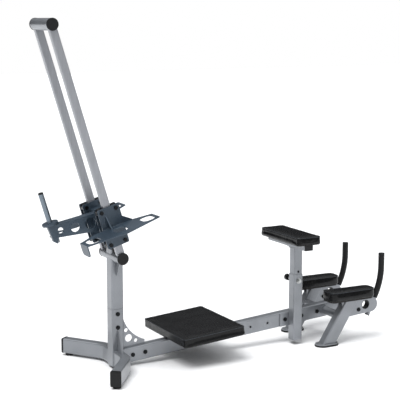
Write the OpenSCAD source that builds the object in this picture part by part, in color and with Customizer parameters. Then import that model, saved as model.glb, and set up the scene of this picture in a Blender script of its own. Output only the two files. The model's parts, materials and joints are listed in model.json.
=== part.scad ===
// Kneeling glute press machine: a plate-loaded carriage runs on two leaning guide rails,
// and the user kneels on a low pad with chest and elbows supported in front.
// +X is the way the user faces, +Y is the user's left, +Z is up. The origin is on the floor.

/* [Base frame] */
// Side of the square rear post
post_side = 64; // [60:1:70]
// Height of the seam between the lower and the upper post
post_seam_z = 306; // [290:1:330]
// Height of the bottom end of the rear post
post_bottom_z = 13; // [12:1:20]
// Width of the rectangular frame tube
tube_w = 50.8; // [48:0.1:52]
// Height of the rectangular frame tube
tube_h = 76.2; // [74:0.1:78]
// Wall of the frame tubes
wall = 3; // [2:0.5:4]
// Straight stretch of a rear leg, from the centre plane to its bend
leg_straight = 95; // [85:1:110]
// Radius of the rear leg's bend along its middle
leg_bend_r = 110; // [90:1:130]
// Angle through which a rear leg is bent backwards
leg_sweep = 36; // [25:1:45]
// Straight stretch of a rear leg behind its bend
leg_tail = 205; // [180:1:240]
// Height of the underside of the rear legs
leg_z = 13; // [11:1:16]

/* [Main rail] */
// Slope of the main rail, rising to the front
rail_rise = 4.75; // [4:0.05:5.5]
// Height of the rail's underside where it meets the post
rail_z0 = 15.8; // [15:0.1:20]
// Front end of the main rail, measured from the post's centre
rail_end_x = 1335; // [1300:5:1350]
// Spacing of the row of holes along the rail
hole_pitch = 105; // [100:1:110]
// First hole of the row, measured from the post's centre
hole_x0 = 768; // [760:1:775]

/* [Guide rails] */
// Lean of the guide rails from the vertical
tilt = 16.75; // [15:0.05:18]
// Height of the lower cross tube's centre
low_z = 575; // [570:1:580]
// Distance between the centres of the two cross tubes
guide_len = 1180; // [1150:5:1200]
// Distance from the centre plane to the middle of a guide rail
guide_y = 95; // [92:1:98]
// Depth of a guide rail across its rolling faces
guide_d = 40; // [38:1:42]
// Width of a guide rail
guide_w = 25.4; // [24:0.1:26]
// Radius of the two cross tubes
cross_r = 29; // [28:0.5:30]
// Length of the two cross tubes
cross_len = 225; // [224:1:230]

/* [Carriage] */
// Middle of the carriage plates above the lower cross tube
car_s = 173; // [170:1:176]
// Half of the distance between the upper and the lower axles
axle_half = 84; // [80:1:88]
// Radius of a roller
roller_r = 18.5; // [17:0.1:19]
// Radius of an axle
axle_r = 5; // [4:0.5:6]
// Distance from the centre plane to a foot plate's middle
foot_y = 198; // [190:1:205]
// Height of the bent lip behind a foot plate
lip_h = 58; // [40:1:60]
// Distance of the weight peg behind the guide rails
peg_n = 262; // [255:1:265]
// Radius of the weight peg
peg_r = 12.7; // [12:0.1:12.7]
// Radius of the disc that the weights rest on
disc_r = 40; // [36:1:42]

/* [Knee pad] */
// Length of the knee pad along the rail
knee_len = 350; // [320:5:360]
// Width of the knee pad
knee_w = 485; // [460:5:500]
// Middle of the knee pad, measured from the post's centre
knee_x = 450; // [440:1:460]
// Thickness of the knee cushion
knee_t = 34; // [30:1:40]

/* [Chest support] */
// Middle of the chest post, measured from the rear post's centre
chest_x = 1026; // [1020:1:1032]
// Side of the outer chest post
outer_side = 55; // [54:0.5:56]
// Side of the sliding inner chest post
inner_side = 50; // [50:0.5:50.5]
// Top of the outer chest post
outer_top_z = 385; // [380:1:390]
// Height of the pull pin
pin_z = 350; // [345:1:355]
// Spacing of the height holes
step = 25; // [25:1:26]
// Length of the chest pad along X
chest_len = 152; // [145:1:160]
// Width of the chest pad
chest_w = 390; // [370:5:400]
// Height of the top of the chest cushion
chest_top_z = 606; // [600:1:615]

/* [Front end] */
// Distance from the centre plane to the elbow pads and hand grips
arm_y = 170; // [168:1:174]
// Middle of a front leg at the floor
front_leg_x = 1160; // [1150:1:1170]
// Lean of a front leg, top to the front
front_leg_lean = 32.5; // [31:0.5:34]
// Middle of the front cross tube
front_tube_x = 1235; // [1232:1:1240]
// Rear end of the elbow pads
elbow_x0 = 1152; // [1145:1:1160]
// Front end of the elbow pads
elbow_x1 = 1447; // [1440:1:1448]
// Width of an elbow pad
elbow_w = 116; // [105:1:120]
// Top of the steel brackets under the elbow pads
bracket_top_z = 238; // [234:1:240]
// Top of the elbow cushions
elbow_top_z = 296; // [290:1:300]
// Middle of the upright part of a hand grip
grip_x = 1506; // [1504:1:1510]
// Top of the hand grips
grip_top_z = 471; // [460:1:480]
// Outer radius of the rubber grip
grip_r = 16.5; // [16:0.1:17]

/* [Hidden] */
$fn = 48;

// Colours
silver = "#a3a7ac";
blue_grey = "#4b5a67";
black = "#1d1e20";
zinc = "#c9ccd0";
oxide = "#141516";

// Frame
half_post = post_side / 2;
leg_mid_z = leg_z + tube_h / 2;
rail_slope = tan(rail_rise);
rail_len = (rail_end_x - half_post) / cos(rail_rise);
corner_r = 7;
bolt_r = 6;
bolt_cap_r = 11;
bolt_zs = [211, 280];
rail_bolt_xs = [83, 152];
rail_hole_xs = [for (i = [0 : 4]) hole_x0 + i * hole_pitch];
rail_hole_r = 6.5;

// Guide rails
low_x = -5;
peg_top_s = 424;
peg_cap_r = 12.4;
peg_cap_top_s = peg_top_s + 6;

// Carriage
plate_t = 6;
plate_half = 58;
plate_s0 = car_s - 100;
plate_s1 = car_s + 102;
roller_gap = 0.3;
axle_n = guide_d / 2 + roller_gap + roller_r;
roller_w = 24;
hub_w = 32.6;
hub_r = 10;
outer_plate_y = guide_y + 17;
inner_plate_y = guide_y - 17 - plate_t;
foot_s = 172;
foot_t = 5;
arm_near_y = -30;
arm_far_y = 14;
arm_lip_y = -8;
arm_root_n = 24;
arm_end_n = 288;
arm_top_root_s = 243;
arm_top_end_s = 268;
arm_low_root_s = 149;
arm_low_end_s = 206;
arm_low_end_n = 281;
disc_low_s = 267;
disc_top_s = disc_low_s + 9.5;

// Chest support
post_y = -60;
inner_bottom_z = 225;
chest_tube_h = 30;
board_t = 12;
chest_board_z = chest_top_z - 34 - board_t;
chest_tube_z = chest_board_z - chest_tube_h;
pin_r = 6;
pin_barrel_len = 26;
outer_face_y = post_y + outer_side / 2;
inner_face_y = post_y + inner_side / 2;

// Front end
front_leg_d = 70;
front_tube_r = 22.2;
plate_foot_t = 6;
rubber_t = 8;
bracket_half_gap = 13;
bracket_t = 6;
bracket_end_r = 40;
bracket_end_x = 1431;
bracket_rise = 4.5;
bracket_hole = [1393, 201];
bracket_hole_r = 25;
bracket_mid_z = bracket_top_z - bracket_end_r;
elbow_board_t = 7.5;
bracket_bolt_x = 1348;
bracket_bolt_z = 178;
grip_bar_r = 12.7;
grip_bend_z = 400;
grip_bend_r = 350;
grip_bend = 25.5;
grip_cover_tail = 22;
grip_tail = 122;

// The machine is centred on the origin along X
rear_x = low_x - peg_cap_top_s * sin(tilt) - peg_n * cos(tilt) - peg_cap_r * cos(tilt);
front_x = grip_x + grip_r;
mid_x = (rear_x + front_x) / 2;

function rail_low_z(x) = rail_z0 + (x - half_post) * rail_slope;
function rail_mid_z(x) = rail_low_z(x) + tube_h / 2 / cos(rail_rise);

// ---- Shared shapes ----

module rounded_rect(w, h, r) {
    square([w - 2 * r, h], center = true);
    square([w, h - 2 * r], center = true);
    for (x = [-1, 1], y = [-1, 1]) {
        translate([x * (w / 2 - r), y * (h / 2 - r)])
            circle(r = r);
    }
}

module tube_section(w, h, t = wall, r = corner_r) {
    difference() {
        rounded_rect(w, h, r);
        rounded_rect(w - 2 * t, h - 2 * t, max(r - t, 1));
    }
}

// A round bar along Y, centred on y
module bar_y(r, len, y = 0) {
    translate([0, y + len / 2, 0])
        rotate([90, 0, 0])
            cylinder(r = r, h = len);
}

// Everything is placed from the post's centre, then moved so that the machine is centred
module placed() {
    translate([-mid_x, 0, 0])
        children();
}

// Local x points away from the guide rails to the front, local z runs up along them
module slanted() {
    placed()
        translate([low_x, 0, low_z])
            rotate([0, -tilt, 0])
                children();
}

// Local x runs up along the main rail's underside, starting at the post's face
module on_rail() {
    placed()
        translate([half_post, 0, rail_z0])
            rotate([0, -rail_rise, 0])
                children();
}

module both_sides() {
    children();
    mirror([0, 1, 0])
        children();
}

// ---- Base frame ----

module lower_post() {
    color(silver)
        placed()
            difference() {
                translate([0, 0, post_bottom_z])
                    linear_extrude(post_seam_z - 1.6 - post_bottom_z)
                        tube_section(post_side, post_side);
                for (z = bolt_zs)
                    translate([0, 0, z])
                        bar_y(bolt_r + 0.2, post_side + 10);
            }
}

module upper_post() {
    color(silver)
        placed()
            difference() {
                translate([0, 0, post_seam_z])
                    linear_extrude(low_z + 35 - post_seam_z)
                        tube_section(post_side, post_side);
                translate([low_x, 0, low_z])
                    bar_y(cross_r + 0.05, post_side + 20);
            }
}

// Inner sleeves: one joins the two posts, the other holds the rail to the post
module splice_sleeves() {
    inner = post_side - 2 * wall - 0.4;
    color(silver) {
        placed()
            difference() {
                translate([0, 0, 185])
                    linear_extrude(220)
                        tube_section(inner, inner, 4, 4);
                for (z = bolt_zs)
                    translate([0, 0, z])
                        bar_y(bolt_r + 0.2, post_side);
            }
        difference() {
            on_rail()
                translate([12, 0, tube_h / 2])
                    rotate([90, 0, 90])
                        linear_extrude(152)
                            tube_section(tube_w - 2 * wall - 0.4, tube_h - 2 * wall - 0.4, 3, 4);
            placed()
                for (x = rail_bolt_xs)
                    translate([x, 0, rail_mid_z(x)])
                        bar_y(bolt_r + 0.2, tube_w);
        }
    }
}

// Runs out of the post's side, meets the bend at a fine butt seam, and sweeps backwards
module leg_run(w, h, r, over = 0) {
    seam = 0.02;
    translate([0, over - half_post, 0])
        rotate([90, 0, 0])
            linear_extrude(leg_straight - half_post + over - seam)
                rounded_rect(w, h, r);
    translate([-leg_bend_r, -leg_straight, 0])
        rotate([0, 0, -leg_sweep]) {
            rotate_extrude(angle = leg_sweep)
                translate([leg_bend_r, 0])
                    rounded_rect(w, h, r);
            translate([leg_bend_r, 0, 0])
                rotate([90, 0, 0])
                    linear_extrude(leg_tail + over)
                        rounded_rect(w, h, r);
        }
}
module rear_leg() {
    placed()
        translate([0, 0, leg_mid_z])
            difference() {
                leg_run(tube_w, tube_h, corner_r);
                leg_run(tube_w - 2 * wall, tube_h - 2 * wall, max(corner_r - wall, 1), 1);
            }
}
module rear_leg_right() {
    color(silver)
        rear_leg();
}

module rear_leg_left() {
    color(silver)
        mirror([0, 1, 0])
            rear_leg();
}

// Local -Y points out of the open end of a rear leg
module at_leg_end() {
    placed()
        translate([-leg_bend_r, -leg_straight, leg_mid_z])
            rotate([0, 0, -leg_sweep])
                translate([leg_bend_r, -leg_tail, 0])
                    children();
}

module end_caps() {
    color(black) {
        both_sides()
            at_leg_end()
                rotate([90, 0, 0]) {
                    linear_extrude(9)
                        rounded_rect(tube_w + 2, tube_h + 2, corner_r + 1);
                    translate([0, 0, 9])
                        linear_extrude(3)
                            rounded_rect(tube_w - 4, tube_h - 4, corner_r - 2);
                    translate([0, 0, -18])
                        linear_extrude(18)
                            tube_section(tube_w - 2 * wall - 0.4, tube_h - 2 * wall - 0.4, 2, 4);
                }
        for (s = [0, guide_len])
            slanted()
                translate([0, 0, s])
                    both_sides() {
                        bar_y(cross_r + 1, 4, -cross_len / 2 - 2);
                        bar_y(cross_r - wall - 0.2, 16, -cross_len / 2 + 8);
                    }
    }
}

module rubber_feet() {
    foot_in = 22;
    color(black) {
        both_sides()
            at_leg_end()
                translate([0, foot_in, -leg_mid_z])
                    cylinder(r = 20, h = leg_z);
        placed()
            both_sides()
                translate([front_leg_x - 4, -arm_y, 0])
                    linear_extrude(rubber_t)
                        oval(136, 80);
    }
}

module oval(len, w) {
    for (x = [-1, 1])
        translate([x * (len - w) / 2, 0])
            circle(d = w);
    square([len - w, w], center = true);
}

// A pierced web braces the rail, and small ones brace the legs and the lower cross tube
module gussets() {
    arc_x = 225;
    arc_z = 305;
    arc_r = 193;
    tip_x = 158;
    color(silver) {
        placed() {
            rotate([90, 0, 0])
                translate([0, 0, -3])
                    linear_extrude(6)
                        difference() {
                            polygon([
                                [half_post, rail_low_z(half_post) + tube_h / cos(rail_rise)],
                                [tip_x, rail_low_z(tip_x) + tube_h / cos(rail_rise)],
                                [tip_x, 140], [half_post, 268]]);
                            translate([arc_x, arc_z])
                                circle(r = arc_r, $fn = 96);
                            translate([57, 183])
                                circle(r = 10.5);
                            translate([71, 141])
                                circle(r = 20);
                            translate([110, 124])
                                circle(r = 10);
                        }
            both_sides() {
                web_yz(half_post, leg_z + tube_h, 56, 104);
                translate([low_x, 0, 0])
                    web_yz(half_post, low_z, 62, -95);
            }
        }
    }
}

// A triangular web on the post's right face: out along a tube, up or down along the post
module web_yz(y, z, out, up) {
    difference() {
        translate([-3, 0, 0])
            rotate([90, 0, 90])
                linear_extrude(6)
                    polygon([[-y, z], [-y - out, z], [-y - 10, z + up], [-y, z + up]]);
        if (up < 0)
            translate([0, 0, z])
                bar_y(cross_r, 400);
    }
}

module capped_bolt(len) {
    bar_y(bolt_r, len);
    both_sides() {
        bar_y(bolt_cap_r, 3, -len / 2 - 1.5);
        bar_y(bolt_cap_r - 2.5, 4, -len / 2 - 5);
    }
}

module frame_bolts() {
    color(oxide)
        placed() {
            for (z = bolt_zs)
                translate([0, 0, z])
                    capped_bolt(post_side);
            for (x = rail_bolt_xs)
                translate([x, 0, rail_mid_z(x)])
                    capped_bolt(tube_w);
            for (x = [rail_hole_xs[2], rail_hole_xs[3]])
                translate([x, -4, rail_mid_z(x)])
                    capped_bolt(tube_w + 8);
            translate([rail_hole_xs[4], 0, rail_mid_z(rail_hole_xs[4])])
                capped_bolt(tube_w);
        }
}

module main_rail() {
    color(silver)
        difference() {
            on_rail()
                translate([-20, 0, tube_h / 2])
                    rotate([90, 0, 90])
                        linear_extrude(rail_len + 20)
                            tube_section(tube_w, tube_h);
            placed() {
                translate([half_post - 100, -100, -50])
                    cube([100, 200, 250]);
                for (x = rail_bolt_xs)
                    translate([x, 0, rail_mid_z(x)])
                        bar_y(bolt_r + 0.2, tube_w + 10);
                for (x = rail_hole_xs)
                    translate([x, 0, rail_mid_z(x)])
                        bar_y(rail_hole_r, tube_w + 10);
                translate([front_tube_x, 0, rail_mid_z(front_tube_x)])
                    bar_y(front_tube_r + 0.1, tube_w + 10);
            }
        }
}

module tube_plugs() {
    color(black) {
        on_rail()
            translate([rail_len, 0, tube_h / 2])
                rotate([90, 0, 90]) {
                    linear_extrude(4)
                        rounded_rect(tube_w + 2, tube_h + 2, corner_r + 1);
                    translate([0, 0, -16])
                        linear_extrude(16)
                            tube_section(tube_w - 2 * wall - 0.4, tube_h - 2 * wall - 0.4, 2, 4);
                }
        both_sides()
            at_grip_tail(grip_tail)
                cylinder(r = grip_bar_r + 0.8, h = 4);
        // A bush lines the hole through the two plates of each elbow bracket
        placed()
            both_sides()
                translate([bracket_hole[0], bracket_half_gap + bracket_t - arm_y, bracket_hole[1]])
                    rotate([90, 0, 0])
                        linear_extrude(2 * (bracket_half_gap + bracket_t))
                            ring(bracket_hole_r - 0.05, bracket_hole_r - 2.5);
    }
}

// ---- Front end ----

module front_cross_tube() {
    color(silver)
        placed()
            translate([front_tube_x, 0, rail_mid_z(front_tube_x)])
                difference() {
                    union() {
                        bar_y(front_tube_r, 2 * arm_y);
                        both_sides()
                            bar_y(28, 8, -tube_w / 2 - 4);
                    }
                    bar_y(front_tube_r - wall, 2 * arm_y + 2);
                    both_sides()
                        translate([-60, -arm_y - 60, -60])
                            cube([120, 60 + tube_w / 2, 120]);
                }
}

// Full outline of a front leg, leaning forward from the foot plate to the bracket's top
module front_leg_solid(grow = 0) {
    top = rubber_t + plate_foot_t;
    intersection() {
        translate([front_leg_x, -arm_y, top])
            rotate([0, front_leg_lean, 0])
                translate([0, 0, -60])
                    linear_extrude(440)
                        rounded_rect(front_leg_d + grow, tube_w + grow, corner_r);
        translate([front_leg_x - 200, -arm_y - 50, top])
            cube([600, 100, bracket_top_z - top]);
    }
}

module front_leg() {
    top = rubber_t + plate_foot_t;
    placed()
        difference() {
            front_leg_solid();
            translate([front_leg_x, -arm_y, top])
                rotate([0, front_leg_lean, 0])
                    translate([0, 0, -60])
                        linear_extrude(440)
                            rounded_rect(front_leg_d - 2 * wall, tube_w - 2 * wall, corner_r - wall);
        }
}

module front_leg_right() {
    color(silver)
        front_leg();
}

module front_leg_left() {
    color(silver)
        mirror([0, 1, 0])
            front_leg();
}

module front_foot_plates() {
    color(silver)
        placed()
            both_sides()
                translate([front_leg_x - 4, -arm_y, rubber_t])
                    linear_extrude(plate_foot_t)
                        oval(130, 74);
}

// Two plates with a round front end, pierced by one large hole; the grip bar runs between them
module elbow_bracket() {
    bracket_rear_x = front_leg_x + 80;
    turn_x = bracket_end_x + bracket_end_r * sin(bracket_rise);
    turn_z = bracket_mid_z - bracket_end_r * cos(bracket_rise);
    bracket_rear_z = turn_z - (turn_x - bracket_rear_x) * tan(bracket_rise);
    placed()
        difference() {
            for (y = [bracket_half_gap, -bracket_half_gap - bracket_t])
                translate([0, -arm_y + y + bracket_t, 0])
                    rotate([90, 0, 0])
                        linear_extrude(bracket_t)
                            difference() {
                                union() {
                                    polygon([
                                        [bracket_rear_x, bracket_top_z],
                                        [bracket_rear_x, bracket_rear_z],
                                        [turn_x, turn_z],
                                        [bracket_end_x, bracket_top_z]]);
                                    translate([bracket_end_x, bracket_mid_z])
                                        circle(r = bracket_end_r, $fn = 72);
                                }
                                translate(bracket_hole)
                                    circle(r = bracket_hole_r);
                            }
            front_leg_solid();
            translate([bracket_bolt_x, -arm_y, bracket_bolt_z])
                bar_y(bolt_r + 0.2, 60);
        }
}

module elbow_bracket_right() {
    color(silver)
        elbow_bracket();
}

module elbow_bracket_left() {
    color(silver)
        mirror([0, 1, 0])
            elbow_bracket();
}

// Outline of an elbow pad from above, tapering to a rounded hand end
module elbow_outline(inset) {
    rear_r = 22;
    front_r = 40;
    polygon([
        [elbow_x0 + inset + rear_r, -elbow_w / 2 + inset],
        [elbow_x1 - inset - front_r, -elbow_w / 2 + inset + 9],
        [elbow_x1 - inset - front_r, elbow_w / 2 - inset - 9],
        [elbow_x0 + inset + rear_r, elbow_w / 2 - inset]]);
    for (y = [-1, 1]) {
        translate([elbow_x0 + inset + rear_r, y * (elbow_w / 2 - inset - rear_r)])
            circle(r = rear_r);
        translate([elbow_x1 - inset - front_r, y * (elbow_w / 2 - inset - 9 - front_r)])
            circle(r = front_r);
    }
    translate([elbow_x0 + inset, -elbow_w / 2 + inset + rear_r])
        square([rear_r, elbow_w - 2 * inset - 2 * rear_r]);
    translate([elbow_x1 - inset - front_r, -elbow_w / 2 + inset + 9 + front_r])
        square([front_r, elbow_w - 2 * inset - 18 - 2 * front_r]);
}

module elbow_boards() {
    color(black)
        placed()
            both_sides()
                translate([0, -arm_y, bracket_top_z])
                    linear_extrude(elbow_board_t)
                        elbow_outline(6);
}

module elbow_cushion() {
    base_z = bracket_top_z + elbow_board_t;
    placed()
        translate([0, -arm_y, base_z])
            linear_extrude(elbow_top_z - base_z)
                elbow_outline(1);
}

module elbow_pad_right() {
    color(black)
        elbow_cushion();
}

module elbow_pad_left() {
    color(black)
        mirror([0, 1, 0])
            elbow_cushion();
}

// Moves to a point a given distance below the bend of the grip bar, local z along the bar, down
module at_grip_tail(dist) {
    placed()
        translate([grip_x - grip_bend_r, -arm_y, grip_bend_z])
            rotate([0, grip_bend, 0])
                translate([grip_bend_r, 0, -dist])
                    mirror([0, 0, 1])
                        children();
}

// The bar's section follows an upright, a wide bend and a straight tail
module grip_path(bend, tail, top_z) {
    placed()
        translate([0, -arm_y, 0])
            rotate([90, 0, 0]) {
                translate([grip_x, grip_bend_z, 0])
                    rotate([-90, 0, 0])
                        linear_extrude(top_z - grip_bend_z)
                            children();
                translate([grip_x - grip_bend_r, grip_bend_z, 0])
                    rotate([0, 0, -bend]) {
                        rotate_extrude(angle = bend, $fn = 120)
                            translate([grip_bend_r, 0])
                                children();
                        if (tail > 0)
                            translate([grip_bend_r, 0, 0])
                                rotate([90, 0, 0])
                                    linear_extrude(tail)
                                        children();
                    }
            }
}

module ring(r_out, r_in) {
    difference() {
        circle(r = r_out);
        circle(r = r_in);
    }
}

module grip_bar() {
    grip_path(grip_bend, grip_tail, grip_top_z - 6)
        ring(grip_bar_r, grip_bar_r - 2.5);
}

module grip_bar_right() {
    color(silver)
        grip_bar();
}

module grip_bar_left() {
    color(silver)
        mirror([0, 1, 0])
            grip_bar();
}

module grip() {
    grip_path(grip_bend, grip_cover_tail, grip_top_z - 6)
        ring(grip_r, grip_bar_r + 0.05);
    placed()
        translate([grip_x, -arm_y, grip_top_z - 6])
            cylinder(r = grip_r, h = 6);
}

module grip_right() {
    color(black)
        grip();
}

module grip_left() {
    color(black)
        mirror([0, 1, 0])
            grip();
}

// ---- Knee pad ----

module knee_pad_brackets() {
    color(silver)
        on_rail()
            for (x = [-1, 1])
                translate([(knee_x - half_post) / cos(rail_rise) + x * 110 - 20, -190, tube_h])
                    cube([40, 380, 5]);
}

module knee_slab(inset, z, t, r) {
    on_rail()
        translate([(knee_x - half_post) / cos(rail_rise), 0, z])
            linear_extrude(t)
                rounded_rect(knee_len - 2 * inset, knee_w - 2 * inset, r);
}

module knee_pad_board() {
    color(black)
        knee_slab(8, tube_h + 5, board_t, 14);
}

module knee_pad() {
    color(black)
        knee_slab(0, tube_h + 5 + board_t, knee_t, 20);
}

module pad_screws() {
    color(oxide) {
        on_rail()
            for (x = [-1, 1], y = [-150, -70, 70, 150])
                translate([(knee_x - half_post) / cos(rail_rise) + x * 110, y, tube_h - 4])
                    cylinder(r = 7, h = 4);
        placed() {
            both_sides()
                for (x = [1326, 1395])
                    translate([x, -arm_y, bracket_top_z - 9])
                        cylinder(r = 7, h = 9);
            both_sides()
                translate([bracket_bolt_x, -arm_y, bracket_bolt_z])
                    capped_bolt(2 * (bracket_half_gap + bracket_t));
        }
    }
}

// ---- Guide rails ----

module guide_rail() {
    slanted()
        difference() {
            translate([0, -guide_y, 0])
                linear_extrude(guide_len)
                    tube_section(guide_d, guide_w, 2.5, 4);
            for (s = [0, guide_len])
                translate([0, 0, s])
                    bar_y(cross_r, cross_len);
        }
}

module guide_rail_right() {
    color(silver)
        guide_rail();
}

module guide_rail_left() {
    color(silver)
        mirror([0, 1, 0])
            guide_rail();
}

module cross_tube(s) {
    slanted()
        translate([0, 0, s])
            difference() {
                bar_y(cross_r, cross_len);
                bar_y(cross_r - wall, cross_len + 2);
            }
}

module lower_cross_tube() {
    color(silver)
        cross_tube(0);
}

module upper_cross_tube() {
    color(silver)
        cross_tube(guide_len);
}

// Rubber blocks on the lower cross tube, on which the carriage rests
module bumpers() {
    color(black)
        slanted()
            difference() {
                both_sides()
                    translate([0, -54, 0])
                        cylinder(r = 17, h = plate_s0 - 0.3);
                bar_y(cross_r, cross_len);
            }
}

// ---- Chest support ----

module at_chest_post(z) {
    placed()
        translate([chest_x, post_y, z])
            children();
}

// Bolted to the rail's right face, it carries the outer post
module chest_mount_plate() {
    x0 = rail_hole_xs[2] - 30;
    x1 = rail_hole_xs[3] + 30;
    color(silver)
        placed()
            difference() {
                translate([0, -tube_w / 2, 0])
                    rotate([90, 0, 0])
                        linear_extrude(-tube_w / 2 - outer_face_y)
                            polygon([
                                [x0, rail_low_z(x0) + 3], [x1, rail_low_z(x1) + 3],
                                [x1, rail_low_z(x1) + tube_h - 3], [x0, rail_low_z(x0) + tube_h - 3]]);
                for (x = [rail_hole_xs[2], rail_hole_xs[3]])
                    translate([x, 0, rail_mid_z(x)])
                        bar_y(bolt_r + 0.2, 100);
            }
}

module chest_outer_post() {
    bottom_z = 25;
    color(silver)
        difference() {
            at_chest_post(bottom_z)
                linear_extrude(outer_top_z - bottom_z)
                    tube_section(outer_side, outer_side, 2.2, 6);
            at_chest_post(pin_z) {
                bar_y(pin_r + 0.05, 60, 30);
                bar_y(6.2, 60, -30);
            }
        }
}

// Set screw in a welded nut, which steadies the inner post
module clamp_screw() {
    nut_y = post_y - outer_side / 2;
    color(zinc)
        placed()
            translate([chest_x, nut_y, pin_z])
                rotate([90, 0, 0]) {
                    cylinder(r = 14, h = 3);
                    translate([0, 0, 3])
                        cylinder(r = 11, h = 9, $fn = 6);
                    translate([0, 0, -1.8])
                        cylinder(r = 6, h = 18);
                }
}

// Welded to the outer post's far face, it guides the pull pin
module pin_barrel() {
    color(zinc)
        placed()
            translate([chest_x, outer_face_y, pin_z])
                rotate([-90, 0, 0])
                    difference() {
                        union() {
                            cylinder(r = 14, h = 4);
                            cylinder(r = 11, h = pin_barrel_len);
                        }
                        translate([0, 0, -1])
                            cylinder(r = pin_r + 0.05, h = pin_barrel_len + 2);
                    }
}

module pull_pin() {
    color(zinc)
        placed()
            translate([chest_x, inner_face_y + 0.4, pin_z])
                rotate([-90, 0, 0])
                    cylinder(r = pin_r, h = 62);
}

module pull_pin_knob() {
    knob_gap = 15;
    color(black)
        placed()
            translate([chest_x, outer_face_y + pin_barrel_len + knob_gap, pin_z])
                rotate([-90, 0, 0])
                    difference() {
                        union() {
                            cylinder(r = 11, h = 4);
                            translate([0, 0, 4])
                                cylinder(r = 17, h = 18);
                            translate([0, 0, 22])
                                cylinder(r1 = 17, r2 = 13, h = 4);
                        }
                        translate([0, 0, -1])
                            cylinder(r = pin_r, h = 20);
                    }
}

module chest_inner_post() {
    color(silver)
        difference() {
            at_chest_post(inner_bottom_z)
                linear_extrude(chest_tube_z - inner_bottom_z)
                    tube_section(inner_side, inner_side, 3, 5);
            for (i = [-4 : 2])
                at_chest_post(pin_z + i * step)
                    bar_y(pin_r + 0.6, 120);
        }
}

// The cross tube under the chest pad, with a curved web down to the post
module chest_cross_tube() {
    color(silver) {
        placed()
            translate([chest_x, 0, chest_tube_z + chest_tube_h / 2])
                rotate([90, 0, 0])
                    translate([0, 0, -180])
                        linear_extrude(360)
                            tube_section(50, chest_tube_h, 2.5, 4);
        placed()
            translate([chest_x - 3, inner_face_y, chest_tube_z])
                rotate([90, 0, 90])
                    linear_extrude(6)
                        difference() {
                            translate([0, -60])
                                square([60, 60]);
                            translate([60, -60])
                                circle(r = 52, $fn = 72);
                        }
    }
}

module chest_tube_caps() {
    color(black)
        placed()
            translate([chest_x, 0, chest_tube_z + chest_tube_h / 2])
                both_sides()
                    translate([0, -180, 0])
                        rotate([90, 0, 0]) {
                            linear_extrude(4)
                                rounded_rect(50, chest_tube_h, 4);
                            translate([0, 0, -14])
                                linear_extrude(14)
                                    rounded_rect(44.6, chest_tube_h - 5.4, 2);
                        }
}

module chest_slab(inset, z, t, r) {
    placed()
        translate([chest_x, 0, z])
            linear_extrude(t)
                rounded_rect(chest_len - 2 * inset, chest_w - 2 * inset, r);
}

module chest_pad_board() {
    color(black)
        chest_slab(6, chest_board_z, board_t, 16);
}

module chest_pad() {
    z = chest_board_z + board_t;
    color(black)
        chest_slab(0, z, chest_top_z - z, 22);
}

module chest_pad_screws() {
    color(oxide)
        placed()
            for (y = [-140, -105, 60, 140])
                translate([chest_x, y, chest_tube_z - 4])
                    cylinder(r = 7, h = 4);
}

// ---- Carriage ----

module axle_spots() {
    for (n = [-axle_n, axle_n], s = [car_s - axle_half, car_s + axle_half])
        translate([n, 0, s])
            children();
}

// An inner and an outer plate, which carry four rollers between them
module side_plates() {
    r = 8;
    for (y = [-outer_plate_y - plate_t, -inner_plate_y - plate_t])
        slanted()
            difference() {
                translate([0, y + plate_t, (plate_s0 + plate_s1) / 2])
                    rotate([90, 0, 0])
                        linear_extrude(plate_t)
                            rounded_rect(2 * plate_half, plate_s1 - plate_s0, r);
                axle_spots()
                    bar_y(axle_r, 400);
            }
}

module side_plates_right() {
    color(blue_grey)
        side_plates();
}

module side_plates_left() {
    color(blue_grey)
        mirror([0, 1, 0])
            side_plates();
}

// A box between the inner plates carries the weight arm; the low plate lands on the bumpers
module carriage_crossmembers() {
    color(blue_grey)
        slanted() {
            translate([0, inner_plate_y, 198])
                rotate([90, 0, 0])
                    linear_extrude(2 * inner_plate_y)
                        tube_section(2 * arm_root_n, 90, 4, 6);
            translate([-30, -inner_plate_y, plate_s0])
                cube([60, 2 * inner_plate_y, plate_t]);
        }
}

module roller_axles() {
    low = inner_plate_y - 6;
    high = outer_plate_y + plate_t;
    color(oxide)
        slanted()
            both_sides()
                axle_spots() {
                    bar_y(axle_r, high - low, -(high + low) / 2);
                    bar_y(9.5, 6, -high - 3);
                    bar_y(9, 6, -low - 3);
                }
}

module rollers(n_side, s_side) {
    color(black)
        slanted()
            translate([n_side * axle_n, 0, car_s + s_side * axle_half])
                both_sides()
                    difference() {
                        union() {
                            bar_y(roller_r, roller_w, -guide_y);
                            bar_y(hub_r, hub_w, -guide_y);
                        }
                        bar_y(axle_r + 0.05, hub_w + 2, -guide_y);
                    }
}

module rollers_front_top() {
    rollers(1, 1);
}

module rollers_front_low() {
    rollers(1, -1);
}

module rollers_rear_top() {
    rollers(-1, 1);
}

module rollers_rear_low() {
    rollers(-1, -1);
}

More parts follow.
